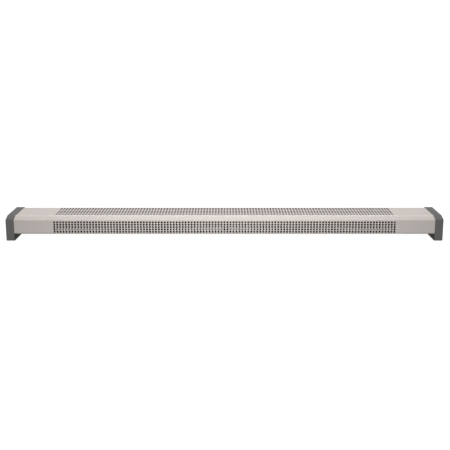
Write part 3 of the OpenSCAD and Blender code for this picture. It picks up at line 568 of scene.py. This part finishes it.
def deselectAll():
    if bpy.context.object and bpy.context.object.mode != "OBJECT":
        bpy.ops.object.mode_set(mode="OBJECT")
    bpy.ops.object.select_all(action="DESELECT")


# Leaves edit mode with only the faces chosen that pass the test
def chooseFaces(piece, test):
    bpy.ops.object.mode_set(mode="EDIT")
    bpy.ops.mesh.select_mode(type="FACE")
    bpy.ops.mesh.select_all(action="DESELECT")
    bpy.ops.object.mode_set(mode="OBJECT")
    for face in piece.data.polygons:
        face.select = test(face)
    bpy.ops.object.mode_set(mode="EDIT")


def softenEdges(piece, width, segments, angle):
    bevel = piece.modifiers.new("softEdges", "BEVEL")
    bevel.width = width
    bevel.segments = segments
    bevel.limit_method = "ANGLE"
    bevel.angle_limit = math.radians(angle)
    bpy.ops.object.modifier_apply(modifier=bevel.name)


def finishPiece(piece, name, slot, node):
    bpy.ops.object.mode_set(mode="OBJECT")
    piece.name = name
    bpy.ops.object.transform_apply(location=True, rotation=True, scale=True)
    bpy.ops.object.shade_smooth_by_angle(angle=math.radians(35))
    piece.data.materials.clear()
    piece.data.materials.append(finishes[slot])
    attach(piece, "root")
    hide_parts(node)


# Wires as round tubes: straight out of the clamp, then in one bow to the terminal
wiring = {
    "radius": 0.0014,
    "lead": 0.008,
    "start": 0.006,
    "bow": 0.012,
    "bowShare": 0.3,
    "steps": 30,
}
wires = {
    "liveLead": {"node": "live_wire", "slot": "brown_insulation",
                 "from": (0.660, -0.00085, 0.0342), "out": (-1.0, 0.0, 0.0),
                 "to": (0.6205, -0.00485, 0.07226), "in": (1.0, 0.0, 0.0)},
    "linkLead": {"node": "link_wire", "slot": "brown_insulation",
                 "from": (0.6205, 0.00315, 0.07226), "out": (1.0, 0.0, 0.0),
                 "to": (0.6246, 0.01316, 0.0652), "in": (0.0, 0.0, 1.0)},
    "neutralLead": {"node": "neutral_wire", "slot": "blue_insulation",
                    "from": (0.660, -0.01085, 0.0342), "out": (-1.0, 0.0, 0.0),
                    "to": (0.6246, -0.01486, 0.0652), "in": (0.0, 0.0, 1.0)},
    "earthLead": {"node": "earth_wire", "slot": "green_insulation",
                  "from": (0.660, 0.00915, 0.0342), "out": (-1.0, 0.0, 0.0),
                  "to": (0.63125, 0.0198, 0.0302), "in": (1.0, 0.0, 0.0)},
}


def wireRoute(wire):
    start, end = Vector(wire["from"]), Vector(wire["to"])
    lead = start + Vector(wire["out"]) * wiring["lead"]
    first = lead + Vector(wire["out"]) * wiring["start"]
    reach = wiring["bow"] + wiring["bowShare"] * (end - lead).length
    last = end + Vector(wire["in"]) * reach
    route = [start]
    for step in range(wiring["steps"] + 1):
        t = step / wiring["steps"]
        rest = 1 - t
        route.append(lead * rest ** 3 + first * 3 * t * rest ** 2 + last * 3 * t * t * rest + end * t ** 3)
    return route


def makeWire(name, wire):
    deselectAll()
    bpy.ops.curve.primitive_nurbs_path_add(location=(0.0, 0.0, 0.0))
    piece = bpy.context.active_object
    piece.data.splines.clear()
    line = piece.data.splines.new("POLY")
    route = wireRoute(wire)
    line.points.add(len(route) - 1)
    for point, place in zip(line.points, route):
        point.co = (*place, 1.0)
    piece.data.bevel_depth = wiring["radius"]
    piece.data.bevel_resolution = 2
    piece.data.use_fill_caps = True
    bpy.ops.object.convert(target="MESH")
    finishPiece(bpy.context.active_object, name, wire["slot"], wire["node"])


for name, wire in wires.items():
    makeWire(name, wire)
print("wires ready")

# Disc thermostat: plate and tabs of plated steel, stepped body with a rivet boss between the tabs
cutout = {
    "axis": (0.596, -0.00085, 0.07226),
    "plateLength": 0.032,
    "plateWidth": 0.0075,
    "plateThickness": 0.0012,
    "holeGap": 0.024,
    "holeRadius": 0.0016,
    "bodyRadius": 0.0075,
    "bodyHeight": 0.009,
    "shoulder": 0.0016,
    "neckHeight": 0.0022,
    "tabSize": (0.0008, 0.0063),
    "tabLength": 0.008,
    "tabGap": 0.008,
    "tabNoseShare": 0.2,
    "edge": 0.0002,
}


def makeCutoutBody():
    x, y, z = cutout["axis"]
    deselectAll()
    drum = cutout["bodyHeight"] - cutout["plateThickness"] - cutout["neckHeight"]
    bpy.ops.mesh.primitive_cylinder_add(vertices=48, radius=cutout["bodyRadius"], depth=drum,
                                        location=(x + cutout["plateThickness"] + drum / 2, y, z),
                                        rotation=(0.0, math.pi / 2, 0.0))
    piece = bpy.context.active_object
    bpy.ops.object.transform_apply(location=True, rotation=True, scale=True)
    chooseFaces(piece, lambda face: face.normal.x > 0.9)
    bpy.ops.mesh.inset(thickness=cutout["shoulder"], depth=0.0)
    bpy.ops.mesh.extrude_region_move(TRANSFORM_OT_translate={"value": (cutout["neckHeight"], 0.0, 0.0)})
    bpy.ops.mesh.inset(thickness=cutout["shoulder"], depth=0.0)
    dip = -cutout["neckHeight"] / 4
    bpy.ops.mesh.extrude_region_move(TRANSFORM_OT_translate={"value": (dip, 0.0, 0.0)})
    bpy.ops.object.mode_set(mode="OBJECT")
    softenEdges(piece, cutout["edge"], 2, 40)
    finishPiece(piece, "cutoutBody", "dark_phenolic", "thermal_cutout")


# A bar of the plate's length, cut to round ends by a wide bevel, with its two screw holes
def makeCutoutPlate():
    x, y, z = cutout["axis"]
    half = cutout["plateThickness"] / 2
    deselectAll()
    bpy.ops.mesh.primitive_cube_add(size=1.0, location=(x + half, y, z))
    piece = bpy.context.active_object
    piece.scale = (cutout["plateThickness"], cutout["plateLength"], cutout["plateWidth"])
    bpy.ops.object.transform_apply(location=True, rotation=True, scale=True)
    bpy.ops.object.mode_set(mode="EDIT")
    bpy.ops.mesh.select_mode(type="EDGE")
    bpy.ops.mesh.select_all(action="DESELECT")
    bpy.ops.object.mode_set(mode="OBJECT")
    for edge in piece.data.edges:
        a, b = (piece.data.vertices[i].co for i in edge.vertices)
        edge.select = abs(a.x - b.x) > half
    bpy.ops.object.mode_set(mode="EDIT")
    bpy.ops.mesh.bevel(offset=cutout["plateWidth"] / 2.02, segments=8)
    bpy.ops.object.mode_set(mode="OBJECT")
    for side in (-1, 1):
        drillHole(piece, (x + half, y + side * cutout["holeGap"] / 2, z), cutout["holeRadius"])
    finishPiece(piece, "cutoutPlate", "plated_steel", "thermal_cutout")


# Round hole along x through a piece
def drillHole(piece, place, radius):
    deselectAll()
    bpy.ops.mesh.primitive_cylinder_add(vertices=32, radius=radius, depth=0.02, location=place,
                                        rotation=(0.0, math.pi / 2, 0.0))
    drill = bpy.context.active_object
    deselectAll()
    bpy.context.view_layer.objects.active = piece
    piece.select_set(True)
    cut = piece.modifiers.new("hole", "BOOLEAN")
    cut.operation = "DIFFERENCE"
    cut.object = drill
    bpy.ops.object.modifier_apply(modifier=cut.name)
    bpy.data.objects.remove(drill, do_unlink=True)


# Blade that ends in a narrowed, chamfered nose
def makeCutoutTab(name, side):
    x, y, z = cutout["axis"]
    thick, wide = cutout["tabSize"]
    nose = wide * cutout["tabNoseShare"]
    straight = cutout["tabLength"] - nose
    deselectAll()
    bpy.ops.mesh.primitive_cube_add(size=1.0, location=(x + cutout["bodyHeight"] + straight / 2,
                                                        y + side * cutout["tabGap"] / 2, z))
    piece = bpy.context.active_object
    piece.scale = (straight, thick, wide)
    bpy.ops.object.transform_apply(location=True, rotation=True, scale=True)
    chooseFaces(piece, lambda face: face.normal.x > 0.9)
    bpy.ops.mesh.extrude_region_move(TRANSFORM_OT_translate={"value": (nose, 0.0, 0.0)})
    center = (x, y + side * cutout["tabGap"] / 2, z)
    bpy.ops.transform.resize(value=(1.0, 0.5, 0.75), center_override=center)
    bpy.ops.object.mode_set(mode="OBJECT")
    softenEdges(piece, cutout["edge"] / 2, 2, 20)
    finishPiece(piece, name, "plated_steel", "thermal_cutout")


makeCutoutBody()
makeCutoutPlate()
makeCutoutTab("cutoutTabFront", -1)
makeCutoutTab("cutoutTabBack", 1)
print("thermostat ready")
